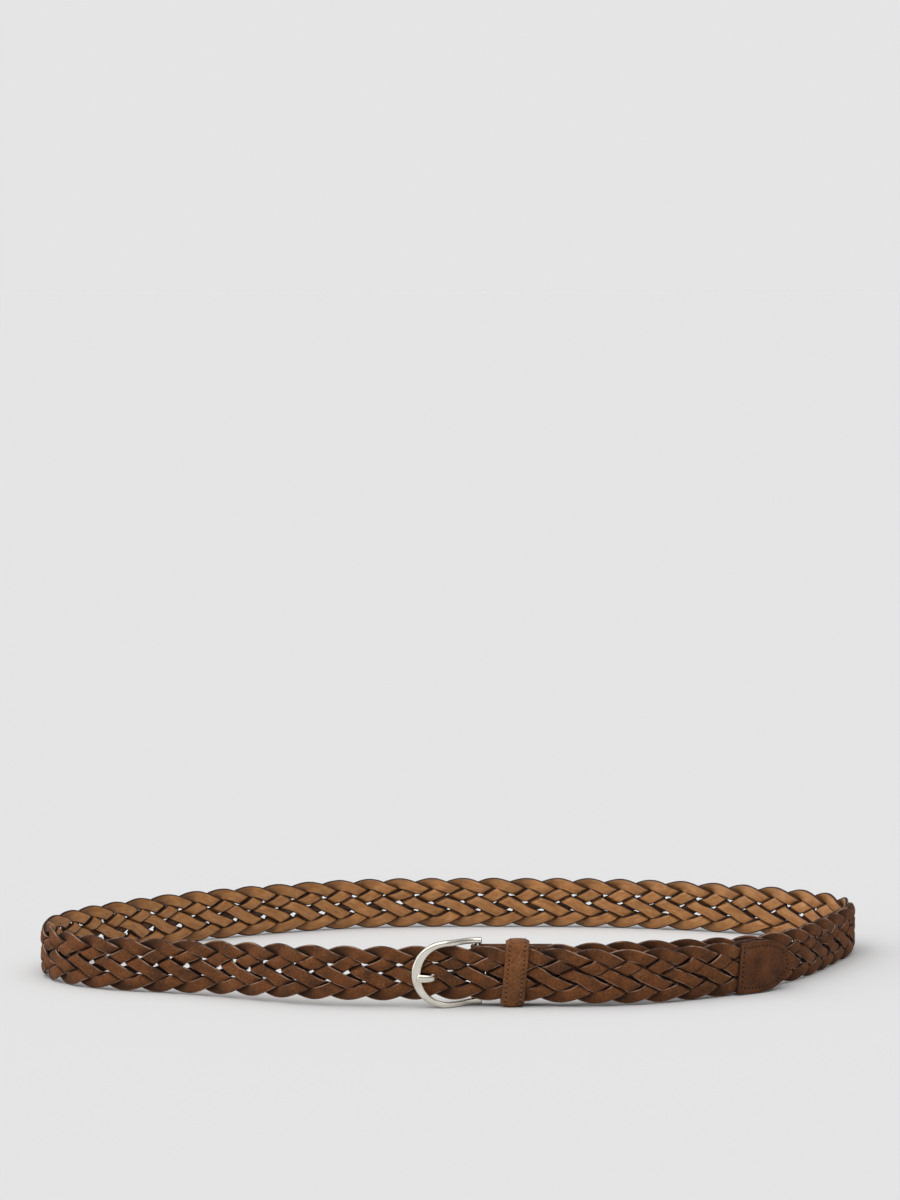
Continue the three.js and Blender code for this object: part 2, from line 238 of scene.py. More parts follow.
def calcVector(operation, *values):
    return calc(operation, *values, kind="ShaderNodeVectorMath")


def scaled(vector, size):
    return outputOf(vector.id_data, "ShaderNodeVectorMath", {0: vector, "Scale": size}, operation="SCALE")


# a tree of geometry nodes, with its inputs listed by kind
def startTree(name, inputs):
    tree = bpy.data.node_groups.new(name, "GeometryNodeTree")
    for kind, labels in {"Geometry": ["Geometry"], **inputs}.items():
        for label in labels:
            tree.interface.new_socket(name=label, in_out="INPUT", socket_type="NodeSocket" + kind)
    tree.interface.new_socket(name="Geometry", in_out="OUTPUT", socket_type="NodeSocketGeometry")
    return tree, tree.nodes.new("NodeGroupInput").outputs


def endTree(geometry, material):
    tree = geometry.id_data
    real = outputOf(tree, "GeometryNodeRealizeInstances", {"Geometry": geometry})
    painted = outputOf(tree, "GeometryNodeSetMaterial", {"Geometry": real, "Material": material})
    addNode(tree, "NodeGroupOutput", {"Geometry": painted})


def growNodes(made, tree, values):
    modifier = made.modifiers.new(tree.name, "NODES")
    modifier.node_group = tree
    for item in tree.interface.items_tree:
        if item.in_out == "INPUT" and item.name in values:
            modifier[item.identifier] = values[item.name]
    applyModifiers(made)


# materials

leatherLook = {
    "nubuck": (0.116, 0.041, 0.0115),
    "nubuckRed": (0.15, 0.049, 0.013),
    "nubuckPale": (0.16, 0.068, 0.024),
    "nubuckDark": (0.074, 0.027, 0.009),
    # the keeper's tone lightens its nubuck (and the chape's): partly its own lighter leather, partly
    # painted light, as the keeper stands out unshaded
    "keeperTone": (1.35, 1.55, 2.05),  # the nubuck's colours are multiplied by it
    # the tip's tone darkens its nubuck: painted shade, as the tip turns away from the light
    "tipTone": (0.84, 0.88, 1.2),
    "tan": (0.39, 0.17, 0.052),
    "tanDark": (0.29, 0.115, 0.033),
    "tanPale": (0.48, 0.245, 0.095),
    "edge": (0.03, 0.013, 0.011),
    # pale rims and cut edges of the strands: partly wear, partly a painted highlight
    "edgeWearAndHighlight": (0.36, 0.22, 0.15),
    "thread": (0.21, 0.09, 0.042),
    "threadDark": (0.1, 0.035, 0.014),
    # needle holes: dark marks of painted shade
    "holeDark": (0.012, 0.006, 0.004),
    "holePale": (0.02, 0.01, 0.007),
    "patchSize": 12 * mm,
    "fleckSize": 0.9 * mm,
    "napSize": 0.35 * mm,
    "wearSize": 7 * mm,
    "cloudSize": 9 * mm,  # of the tan side
    "streakSize": 1.6 * mm,
    "streakAlong": 0.35,  # the streaks are drawn out along the strand
    "streakAcross": 2.6 * mm,
    "crackSize": 2.2 * mm,  # of the painted edge
    "holeSize": 1 * mm,
    "twistSize": 0.9 * mm,  # of the thread
}


def startMaterial(name, roughness, metallic=0.0, specular=0.5):
    material = bpy.data.materials.new(name)
    material.use_nodes = True
    shader = material.node_tree.nodes["Principled BSDF"]
    plug(shader, {"Roughness": roughness, "Metallic": metallic, "Specular IOR Level": specular})
    return material, material.node_tree, shader


def noise(tree, size, detail=3.0, roughness=0.55, place=None):
    if place is None:
        place = addNode(tree, "ShaderNodeTexCoord").outputs["Object"]
    settings = {"Vector": place, "Scale": 1 / size, "Detail": detail, "Roughness": roughness}
    return outputOf(tree, "ShaderNodeTexNoise", settings)


def ramp(value, *stops):
    node = addNode(value.id_data, "ShaderNodeValToRGB", {"Fac": value})
    elements = node.color_ramp.elements
    while len(elements) < len(stops):
        elements.new(0.5)
    for element, (position, color) in zip(elements, stops):
        element.position = position
        element.color = (*color, 1) if isinstance(color, tuple) else (color, color, color, 1)
    return node.outputs[0]


def mixColor(share, first, second, blend="MIX"):
    first, second = ((*color, 1) if isinstance(color, tuple) else color for color in (first, second))
    inputs = {"Factor": share, 6: first, 7: second}
    tree = treeOf(share, first, second)
    return addNode(tree, "ShaderNodeMix", inputs, data_type="RGBA", blend_type=blend).outputs[2]


def tinted(color, tone):
    return mixColor(1.0, color, tone, "MULTIPLY")


def bump(height, strength, distance, under=None):
    inputs = {"Height": height, "Strength": strength, "Distance": distance}
    if under is not None:
        inputs["Normal"] = under
    return outputOf(height.id_data, "ShaderNodeBump", inputs)


# brushed leather: reddish and pale patches, fine flecks and a short nap
def nubuckColor(tree, look):
    stops = [(0.34, "nubuckDark"), (0.47, "nubuck"), (0.58, "nubuckRed"), (0.7, "nubuckPale")]
    patches = ramp(noise(tree, look["patchSize"], 4, 0.6), *[(place, look[tone]) for place, tone in stops])
    flecks = ramp(noise(tree, look["fleckSize"], 3, 0.7), (0.3, 0.55), (0.5, 0.98), (0.7, 1.45))
    return tinted(patches, flecks)


def nubuckBump(tree, look):
    nap = bump(noise(tree, look["napSize"], 4, 0.75), 0.55, 0.12 * mm)
    return bump(noise(tree, look["fleckSize"] * 1.6, 2, 0.5), 0.4, 0.25 * mm, nap)


def nubuckMaterial(name, look, tone):
    material, tree, shader = startMaterial(name, 0.88, specular=0.15)
    plug(shader, {"Base Color": tinted(nubuckColor(tree, look), tone), "Normal": nubuckBump(tree, look)})
    plug(shader, {"Sheen Weight": 0.12, "Sheen Roughness": 0.5, "Sheen Tint": (0.8, 0.55, 0.42, 1)})
    return material


def edgeMaterial(look):
    material, tree, shader = startMaterial("paintedEdge", 0.5)
    worn = ramp(noise(tree, look["crackSize"], 4, 0.7), (0.5, look["edge"]), (0.68, look["nubuckDark"]))
    plug(shader, {"Base Color": worn, "Normal": bump(noise(tree, 0.4 * mm), 0.3, 0.1 * mm)})
    return material


# a strand: brushed outside, smooth tan inside, cut edges pale outside, partly wear and partly a painted
# highlight, and painted dark inside; painted shade darkens it where it dives under the others
def strandMaterial(look):
    material, tree, shader = startMaterial("braidLeather", 0.6, specular=0.35)
    names = ("faceOut", "acrossStrand", "alongStrand", "raised")
    nodes = [addNode(tree, "ShaderNodeAttribute", attribute_name=name) for name in names]
    face, across, along, raised = (node.outputs["Fac"] for node in nodes)
    side = calc("ABSOLUTE", across)
    height = plus(times(raised, 0.5), 0.5)
    worn = ramp(noise(tree, look["wearSize"], 2), (0.42, 0.1), (0.6, 1.0))

    # painted shade darkens what lies low, where a strand dives under the others, and painted light lifts
    # what lies high; the rims go pale in worn patches, partly wear and partly a painted highlight
    rim = times(ramp(side, (0.88, 0.0), (0.97, 1.0)), worn, 0.5)
    nubuck = mixColor(rim, nubuckColor(tree, look), look["edgeWearAndHighlight"])
    nubuck = tinted(nubuck, ramp(height, (0.05, 0.28), (0.5, 0.62), (0.88, 1.06)))

    # the edges' paint has run in over the tan
    drawnOut = {0: times(along, look["streakAlong"]), 1: times(across, look["streakAcross"])}
    fibre = outputOf(tree, "ShaderNodeCombineXYZ", drawnOut)
    streaks = noise(tree, look["streakSize"], 4, 0.6, fibre)
    tan = ramp(streaks, (0.3, look["tanDark"]), (0.5, look["tan"]), (0.74, look["tanPale"]))
    tan = tinted(tan, ramp(noise(tree, look["cloudSize"], 3), (0.3, 0.8), (0.7, 1.15)))
    tan = mixColor(ramp(side, (0.76, 0.0), (0.88, 0.92)), tan, look["edge"])
    # painted shade on the tan side too: darker where the strand dives under, a little lighter where it lies
    # high
    tan = tinted(tan, ramp(height, (0.05, 0.5), (0.5, 0.8), (0.88, 1.04)))

    # the outer half of the cut edge goes pale in worn patches: partly wear, partly a painted highlight of
    # the edge catching the light
    cutWearAndHighlight = times(ramp(face, (0.1, 0.0), (0.6, 1.0)), worn)
    cut = mixColor(cutWearAndHighlight, look["edge"], look["edgeWearAndHighlight"])
    outside = ramp(face, (0.7, 0.0), (0.85, 1.0))
    inside = ramp(times(face, -1.0), (0.7, 0.0), (0.85, 1.0))
    color = mixColor(inside, mixColor(outside, cut, nubuck), tan)
    rough = outputOf(tree, "ShaderNodeMix", {0: inside, 2: 0.95, 3: 0.32}, data_type="FLOAT")
    bumps = {0: inside, 4: nubuckBump(tree, look), 5: bump(streaks, 0.2, 0.12 * mm)}
    normal = addNode(tree, "ShaderNodeMix", bumps, data_type="VECTOR").outputs[1]
    plug(shader, {"Base Color": color, "Roughness": rough, "Normal": normal})
    return material


def threadMaterial(name, look, dark, pale):
    material, tree, shader = startMaterial(name, 0.7)
    color = ramp(noise(tree, look["twistSize"], 2), (0.35, look[dark]), (0.65, look[pale]))
    plug(shader, {"Base Color": color})
    return material


# needle holes: a dark mark of painted shade where each hole is
def holeMaterial(look):
    material, tree, shader = startMaterial("needleHole", 0.9, specular=0.1)
    color = ramp(noise(tree, look["holeSize"]), (0.4, look["holeDark"]), (0.6, look["holePale"]))
    plug(shader, {"Base Color": color})
    return material


metalLook = {
    "pale": (0.8, 0.765, 0.69),
    "warm": (0.7, 0.655, 0.57),
    "toneSize": 6 * mm,
    "satinSize": 2.5 * mm,
    "brushSize": 0.25 * mm,
    "brushStretch": 0.12,
}


def nickelMaterial(look):
    material, tree, shader = startMaterial("satinNickel", 0.3, metallic=1.0)
    tone = ramp(noise(tree, look["toneSize"], 2), (0.35, look["warm"]), (0.65, look["pale"]))
    satin = ramp(noise(tree, look["satinSize"], 4), (0.3, 0.18), (0.7, 0.27))
    place = addNode(tree, "ShaderNodeTexCoord").outputs["Object"]
    stretch = {"Vector": place, "Scale": (look["brushStretch"], 1, 1)}
    brush = noise(tree, look["brushSize"], 3, 0.6, outputOf(tree, "ShaderNodeMapping", stretch))
    plug(shader, {"Base Color": tone, "Roughness": satin, "Normal": bump(brush, 0.05, 0.02 * mm)})
    return material


# lit and shaded copies of the nubuck: the keeper's partly painted light, the tip's painted shade
keeperNubuck = nubuckMaterial("keeperNubuck", leatherLook, leatherLook["keeperTone"])
tipNubuck = nubuckMaterial("tipNubuck", leatherLook, leatherLook["tipTone"])
paintedEdge = edgeMaterial(leatherLook)
braidLeather = strandMaterial(leatherLook)
thread = threadMaterial("thread", leatherLook, "nubuckPale", "thread")
darkThread = threadMaterial("darkThread", leatherLook, "nubuckDark", "threadDark")
needleHole = holeMaterial(leatherLook)
satinNickel = nickelMaterial(metalLook)
print("materials made")

# the belt's middle line, seen from above, from the chape round the loop to the tip.
# Distances across and back are measured from the middle of the loop's front.

loopShape = {
    "width": 388 * mm,
    "depth": 213 * mm,
    # shares: across, of half the width; back, of the depth; lift, of the buckle's lift
    "plan": [
        (0.32, 0.04, 0.95), (0.385, 0.065, 0.85), (0.465, 0.1, 0.65), (0.55, 0.125, 0.45),
        (0.63, 0.155, 0.3), (0.71, 0.195, 0.15), (0.775, 0.245, 0.05), (0.84, 0.315, 0),
        (0.9, 0.41, 0), (0.955, 0.52, 0), (1, 0.62, 0), (1.005, 0.705, 0), (0.96, 0.78, 0),
        (0.865, 0.85, 0), (0.75, 0.905, 0), (0.59, 0.955, 0), (0.4, 0.99, 0), (0.15, 1, 0),
        (-0.1, 0.995, 0), (-0.26, 0.975, 0), (-0.42, 0.92, 0), (-0.57, 0.85, 0), (-0.71, 0.765, 0),
        (-0.825, 0.67, 0), (-0.93, 0.56, 0), (-0.985, 0.44, 0), (-0.975, 0.335, 0), (-0.905, 0.245, 0),
        (-0.8, 0.19, 0), (-0.67, 0.155, 0.1), (-0.55, 0.115, 0.4), (-0.43, 0.06, 0.7), (-0.32, 0.018, 0.93),
    ],
    "tipPlan": [
        (0.34, 0.003, 0.45), (0.43, 0.02, 0.25), (0.52, 0.052, 0.12), (0.61, 0.097, 0.05),
        (0.7, 0.148, 0), (0.84, 0.23, 0),
    ],
    "straightEnd": 4 * mm,  # of the inner layer past the chape's ends
    "straightLead": 20 * mm,  # of the outer layer before the buckle
    "keeperDip": 0.75,  # the lift that is left past the keeper
}

braidWeave = {
    "strandWidth": 5.3 * mm,  # the space it takes in the weave
    "strandThickness": 1.6 * mm,
    "slit": 1.9 * mm,  # between two strands side by side
    "clearance": 0.3 * mm,
    "angle": math.radians(26.8),
    "sharpness": 0.93,  # of the turns at the edges
    "rows": [1, -1, 1, 1, -1],  # over and under, for a strand on its way down
    "fullWidth": 5.8 * mm,  # pressed flat, it takes some of the slit too
    "crown": 0.32,  # how much thinner a strand is at its edges
    "relief": 1.2 * mm,  # more between over and under where nothing presses the braid
    "fullness": 0.6 * mm,  # more thickness there
    "reliefFade": 5 * mm,
    "heldBeforeFrame": 2 * mm,
    "heldPastFrame": 5 * mm,
    "heldPastKeeper": 1 * mm,
    "heldBeforeTip": 2 * mm,
    "hold": 2.9 * mm,  # half the length of a crossing
    "crossingBulge": 1.12,
    "crossingEnd": 0.86,
    "sectionsPerRow": 12,
    "profilePoints": 20,
    "squareness": 3.8,  # of a strand's section: 2 is an ellipse
    "startPastBar": 9 * mm,
    "intoTip": 9 * mm,
    "wander": 1.2 * mm,  # how far the turns stray along the belt
    "wanderLength": 45 * mm,
    "sway": 1.3 * mm,  # how far each strand strays by itself
    "swayLength": 12 * mm,
    "widthChange": 1.0 * mm,
    "widthLength": 19 * mm,
    "unevenness": 0.12 * mm,
    "unevenSize": 3.5 * mm,
    "seed": 5,
}

slitCut = {
    "pastFrame": 10.6 * mm,  # from the crosspiece's outer face to the slit that the prong takes
    "raise": 2.5 * mm,
    "spread": 1.0 * mm,
    "reach": 8 * mm,  # how far off the braid still gives way
}

leatherCut = {
    "chapeThickness": 1.3 * mm,
    "keeperAcross": 29.5 * mm,
    "keeperWidth": 10.3 * mm,
    "keeperThickness": 1.5 * mm,
    "keeperLean": math.radians(5.3),
    "keeperCorner": 3.5 * mm,
    "freeLength": 97 * mm,  # between the keeper and the tip
    "tipThickness": 1.2 * mm,
    "tipLength": 31.5 * mm,
    "tipHeight": 24 * mm,
    "tipLean": math.radians(6),
}

layerStep = braidWeave["strandThickness"] + braidWeave["clearance"]
braidThickness = braidWeave["strandThickness"] + layerStep
lobePitch = (braidWeave["strandWidth"] + braidWeave["slit"]) / math.sin(braidWeave["angle"])
braidPeriod = (len(braidWeave["rows"]) + 1) * lobePitch
turnAngle = math.asin(braidWeave["sharpness"])
braidReach = math.tan(braidWeave["angle"]) * braidPeriod * turnAngle / (2 * math.pi)
braidReach /= braidWeave["sharpness"]
braidHeight = 2 * braidReach + braidWeave["strandWidth"]

# places that follow from the frame
keeperLow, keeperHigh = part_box("keeper")
chapeLow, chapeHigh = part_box("chape")
buckleLow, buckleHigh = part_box("buckle_frame")
frontMiddle = (
    (keeperLow.x + keeperHigh.x) / 2 - leatherCut["keeperAcross"],
    keeperLow.y + braidThickness / 2 + braidWeave["clearance"] + leatherCut["keeperThickness"],
)
chapeFold = (chapeHigh.y - chapeLow.y) / 2
barAcross = chapeLow.x + chapeFold - frontMiddle[0]
barBack = (chapeLow.y + chapeHigh.y) / 2 - frontMiddle[1]
chapeEnd = chapeHigh.x - frontMiddle[0]
frameLeft = buckleLow.x - frontMiddle[0]
buckleMiddle = (buckleLow.z + buckleHigh.z) / 2
buckleLift = buckleMiddle - braidHeight / 2
tipAcross = leatherCut["keeperAcross"] + leatherCut["keeperWidth"] / 2 + leatherCut["freeLength"]


def inRowFrame(across, back, height):
    return np.stack(np.broadcast_arrays(frontMiddle[0] + across, frontMiddle[1] + back, height), -1)


def beltMiddleLine(shape):
    def placed(across, back, lift):
        return (across * shape["width"] / 2, back * shape["depth"], braidHeight / 2 + lift * buckleLift)

    keeperMiddle, keeperWidth = leatherCut["keeperAcross"], leatherCut["keeperWidth"]
    extra = shape["straightEnd"]
    inner = [barAcross - extra, keeperMiddle, chapeEnd - extra, chapeEnd + extra]
    points = [(x, barBack, buckleMiddle) for x in inner]
    points += [placed(*row) for row in shape["plan"]]
    outer = [
        (frameLeft - shape["straightLead"], 1), (frameLeft, 1), (barAcross, 1),
        (keeperMiddle, (1 + shape["keeperDip"]) / 2), (keeperMiddle + keeperWidth, shape["keeperDip"]),
    ]
    points += [(x, 0, braidHeight / 2 + lift * buckleLift) for x, lift in outer]
    points += [placed(*row) for row in shape["tipPlan"]]
    before, last = np.array(points[-2]), np.array(points[-1])
    onward = (last - before) / np.linalg.norm(last - before)
    points.append(tuple(last + onward * leatherCut["tipLength"]))
    return smoothLine(points) + np.array([*frontMiddle, 0])


beltLine = beltMiddleLine(loopShape)
beltAlong = distances(beltLine)
beltHeading = np.gradient(beltLine[:, :2], beltAlong, axis=0)
upward = np.array([0, 0, 1])


# points of the belt, by distance along its middle line, height above it and distance outwards
def onBelt(along, up, out):
    along, up, out = np.broadcast_arrays(along, up, out)
    middle = readOff(along, beltAlong, beltLine)
    heading = unit(readOff(along, beltAlong, beltHeading))
    outward = np.stack([heading[..., 1], -heading[..., 0], np.zeros_like(up, float)], -1)
    return middle + outward * out[..., None] + upward * up[..., None]


# where the outer layer at the front is this far across
def outerAlong(across):
    last = len(beltLine) * 2 // 3
    return float(np.interp(across + frontMiddle[0], beltLine[last:, 0], beltAlong[last:]))


braidStart = braidWeave["startPastBar"] + loopShape["straightEnd"]
tipStart = outerAlong(tipAcross)
braidEnd = tipStart + braidWeave["intoTip"]
prongPass = outerAlong(frameLeft + slitCut["pastFrame"])
slitPhase = 4 * math.pi * lobePitch / braidPeriod
slitUp = braidReach * math.asin(braidWeave["sharpness"] * math.cos(slitPhase)) / turnAngle
frameAt = outerAlong(frameLeft)
keeperAt = outerAlong(leatherCut["keeperAcross"])
keeperHold = leatherCut["keeperWidth"] / 2 + braidWeave["heldPastKeeper"]
pressedRuns = [
    (0, chapeEnd - barAcross + loopShape["straightEnd"]),
    (frameAt - braidWeave["heldBeforeFrame"], frameAt + braidWeave["heldPastFrame"]),
    (keeperAt - keeperHold, keeperAt + keeperHold),
    (tipStart - braidWeave["heldBeforeTip"], braidEnd),
]
print("belt line drawn,", round(beltAlong[-1], 3), "m")

# the braid: every strand is one tree of nodes with its own turns


def curveNode(value, ends, points):
    node = addNode(value.id_data, "ShaderNodeFloatCurve", {"Value": value})
    curve = node.mapping.curves[0]
    curve.points[0].location = (0, ends)
    curve.points[1].location = (1, ends)
    for place, level in points:
        curve.points.new(place, level)
    for point in curve.points:
        point.handle_type = "AUTO_CLAMPED"
    node.mapping.update()
    return node.outputs[0]


# from -1, under, to 1, over
def layerCurve(weave, value):
    falling = weave["rows"]
    rising = [-layer for layer in reversed(falling)]
    crossings = 2 * (len(falling) + 1)
    spots = ((-1, weave["crossingEnd"]), (0, weave["crossingBulge"]), (1, weave["crossingEnd"]))
    points = []
    for first, layers in ((1, falling), (1 + crossings // 2, rising)):
        for row, layer in enumerate(layers):
            middle = (first + row) / crossings
            for side, share in spots:
                if side and 0 <= row + side < len(layers) and layers[row + side] == layer:
                    continue
                points.append((middle + side * weave["hold"] / braidPeriod, 0.5 + layer * share / 3))
    return times(minus(curveNode(value, 0.5, points), 0.5), 3.0)


# how free the braid is, along the belt: 0 where the chape, the buckle, the keeper or the tip holds it
def freedomCurve(weave, value, holds):
    ease = weave["reliefFade"]
    points = []
    for start, end in holds:
        for along, freedom in ((start - ease, 1), (start, 0), (end, 0), (end + ease, 1)):
            share = (along - braidStart) / (braidEnd - braidStart)
            if 0 < share < 1:
                points.append((share, freedom))
    return curveNode(value, 0, points)


# a smooth random value from -1 to 1
def wave(along, length, offset):
    settings = {"W": plus(over(along, length), offset), "Scale": 1.0, "Detail": 1.0}
    value = outputOf(along.id_data, "ShaderNodeTexNoise", settings, noise_dimensions="1D")
    return times(minus(value, 0.5), 2.0)


def storeValue(geometry, label, value):
    inputs = {"Geometry": geometry, "Name": label, "Value": value}
    kind = "GeometryNodeStoreNamedAttribute"
    return outputOf(geometry.id_data, kind, inputs, data_type="FLOAT", domain="POINT")


def storedValue(tree, label, kind="FLOAT"):
    return outputOf(tree, "GeometryNodeInputNamedAttribute", {"Name": label}, data_type=kind)


# the points of another object, where it stands
def pointsOf(tree, shown):
    node = addNode(tree, "GeometryNodeObjectInfo", {"Object": shown}, transform_space="RELATIVE")
    return node.outputs["Geometry"]


def strandTree(weave):
    tree, given = startTree("braidStrand", {
        "Object": ["middleLine"], "Int": ["sections", "profilePoints"], "Material": ["leather"],
        "Float": [
            "start", "end", "firstTurn", "period", "reach", "sharpness", "angle", "layerStep", "fullWidth",
            "strandThickness", "crown", "squareness", "prongAt", "slitHeight", "slitRaise", "slitSpread",
            "slitReach", "wander", "wanderLength", "sway", "swayLength", "widthChange", "widthLength",
            "relief", "fullness", "unevenness", "seed",
        ],
    })
    line = pointsOf(tree, given["middleLine"])

    # a straight tube with the strand's section; its points are then set one by one
    straight = outputOf(tree, "GeometryNodeCurvePrimitiveLine")
    steps = outputOf(tree, "GeometryNodeResampleCurve", {"Curve": straight, "Count": given["sections"]})
    index = outputOf(tree, "GeometryNodeInputIndex")
    length = minus(given["end"], given["start"])
    along = plus(times(over(index, minus(given["sections"], 1.0)), length), given["start"])
    spine = storeValue(steps, "alongStrand", along)
    circle = {"Resolution": given["profilePoints"], "Radius": 1.0}
    profile = outputOf(tree, "GeometryNodeCurvePrimitiveCircle", circle)
    corner = outputOf(tree, "GeometryNodeInputPosition")
    corner = addNode(tree, "ShaderNodeSeparateXYZ", {0: corner})
    power = over(2.0, given["squareness"])
    for label, axis, sign in (("faceOut", 0, -1.0), ("acrossStrand", 1, 1.0)):
        spot = corner.outputs[axis]
        value = times(calc("SIGN", spot), sign, calc("POWER", calc("ABSOLUTE", spot), power))
        profile = storeValue(profile, label, value)
    parts = {"Curve": spine, "Profile Curve": profile, "Fill Caps": True}
    tube = outputOf(tree, "GeometryNodeCurveToMesh", parts)
    labels = ("alongStrand", "acrossStrand", "faceOut")
    along, across, faceOut = (storedValue(tree, label) for label in labels)

    # the turns stray a little along the belt, all strands alike, but not at the prong
    stray, atProng = (wave(place, given["wanderLength"], 0.0) for place in (along, given["prongAt"]))
    strayed = plus(times(minus(stray, atProng), given["wander"]), along)
    turns = over(minus(strayed, given["firstTurn"]), given["period"])
    phase = times(turns, 2 * math.pi)
    bent = calc("ARCSINE", times(calc("COSINE", phase), given["sharpness"]))
    height = times(given["reach"], over(bent, calc("ARCSINE", given["sharpness"])))

    # between its turns each strand sways by itself, but not at the prong either
    steep = calc("POWER", calc("COSINE", bent), 2.0)
    near = over(minus(along, given["prongAt"]), given["slitReach"])
    calm = calc("EXPONENT", times(near, near, -0.5))
    sway = times(wave(along, given["swayLength"], given["seed"]), steep, minus(1.0, calm))
    height = plus(times(sway, given["sway"]), height)

    # across the strand, a section lies along the strands that cross it
    fall = over(calc("SINE", phase), calc("COSINE", bent))
    lean = calc("ARCTANGENT", times(fall, -1.0, calc("TANGENT", given["angle"])))
    full = over(1.0, calc("TANGENT", times(given["angle"], 2.0)))
    skew = times(fall, minus(1.5, times(fall, fall, 0.5)), full)
    change = wave(along, given["widthLength"], plus(given["seed"], 3.0))
    width = plus(times(change, steep, given["widthChange"]), given["fullWidth"])
    half = times(across, over(width, 2.0))
    ahead = minus(times(skew, calc("COSINE", lean)), calc("SINE", lean))
    upward = plus(times(skew, calc("SINE", lean)), calc("COSINE", lean))
    spotAlong = plus(times(half, ahead), along)
    spotUp = plus(times(half, upward), height)

    # the prong lifts the slit that it passes and pushes its sides apart
    fromProng = minus(spotAlong, given["prongAt"])
    fromSlit = minus(spotUp, given["slitHeight"])
    away = hypotenuse(fromProng, fromSlit)
    near = over(away, given["slitReach"])
    pull = calc("EXPONENT", times(near, near, -1.0))
    apart = over(hypotenuse(away, times(pull, given["slitSpread"])), calc("MAXIMUM", away, 0.01 * mm))
    spotAlong = plus(times(fromProng, apart), given["prongAt"])
    spotUp = plus(times(fromSlit, apart), plus(times(pull, given["slitRaise"]), given["slitHeight"]))

    # over and under, and the strand's own thickness
    layer = layerCurve(weave, calc("FRACT", turns))
    freedom = freedomCurve(weave, over(minus(along, given["start"]), length), pressedRuns)
    step = plus(times(freedom, given["relief"]), given["layerStep"])
    body = plus(times(freedom, given["fullness"]), given["strandThickness"])
    thin = minus(1.0, times(across, across, given["crown"]))
    out = plus(times(layer, over(step, 2.0)), times(faceOut, over(body, 2.0), thin))
    sample = {"Curves": line, "Length": spotAlong}
    spot = addNode(tree, "GeometryNodeSampleCurve", sample, mode="LENGTH").outputs
    outward = calcVector("NORMALIZE", calcVector("CROSS_PRODUCT", spot["Tangent"], (0, 0, 1)))
    lifted = outputOf(tree, "ShaderNodeCombineXYZ", {"Z": spotUp})
    place = calcVector("ADD", calcVector("ADD", spot["Position"], scaled(outward, out)), lifted)
    skin = outputOf(tree, "GeometryNodeSetPosition", {"Geometry": tube, "Position": place})

    dents = {"Scale": 1 / weave["unevenSize"], "Detail": 2.0}
    uneven = outputOf(tree, "ShaderNodeTexNoise", dents)
    push = times(minus(uneven, 0.5), times(given["unevenness"], 2.0))
    offset = scaled(outputOf(tree, "GeometryNodeInputNormal"), push)
    skin = outputOf(tree, "GeometryNodeSetPosition", {"Geometry": skin, "Offset": offset})
    # how high each face lies in the weave; the braid's material paints shade and light by it
    skin = storeValue(skin, "raised", times(layer, faceOut))
    skin = storeValue(skin, "alongStrand", plus(along, given["seed"]))
    skin = outputOf(tree, "GeometryNodeSetShadeSmooth", {"Geometry": skin})
    endTree(skin, given["leather"])
    return tree


def makeBraid(weave, cut):
    tree = strandTree(weave)
    middleLine = lineObject("beltMiddle", beltLine)
    rowsLong = (braidEnd - braidStart) / (lobePitch / 2)
    reach = braidReach - (weave["fullWidth"] - weave["strandWidth"]) / 2
    slitHeight = slitUp * reach / braidReach
    sizes = dict(
        weave, middleLine=middleLine, leather=braidLeather, start=braidStart, end=braidEnd,
        period=braidPeriod, reach=reach, layerStep=layerStep,
        sections=round(rowsLong * weave["sectionsPerRow"]) + 1,
        prongAt=prongPass, slitHeight=slitHeight, slitRaise=slitUp + cut["raise"] - slitHeight,
        slitSpread=cut["spread"], slitReach=cut["reach"],
    )
    for number in range(len(weave["rows"]) + 1):
        sizes["firstTurn"] = prongPass + (number - 1.5) * lobePitch
        sizes["seed"] = float(weave["seed"] + 7 * number)
        strand = meshObject(f"braidStrand{number + 1}")
        growNodes(strand, tree, sizes)
        dress(strand, "braid_leather", f"strand_{number + 1}")
    bpy.data.objects.remove(middleLine)
    print("braid woven")


makeBraid(braidWeave, slitCut)

# stitches: threads, and dark marks of painted shade for the needle holes between them, along a drawn row

stitching = {
    "spacing": 2.1 * mm,
    "proud": 0.03 * mm,
    "thread": {"length": 1.6 * mm, "width": 0.55 * mm, "thickness": 0.4 * mm},
    # the hole is a dark mark of painted shade between the threads
    "hole": {"length": 0.75 * mm, "width": 0.7 * mm, "thickness": 0.2 * mm},
}
tipStitching = dict(
    stitching,
    thread={"length": 1.3 * mm, "width": 0.45 * mm, "thickness": 0.4 * mm},
    hole={"length": 1.0 * mm, "width": 0.85 * mm, "thickness": 0.2 * mm},
)


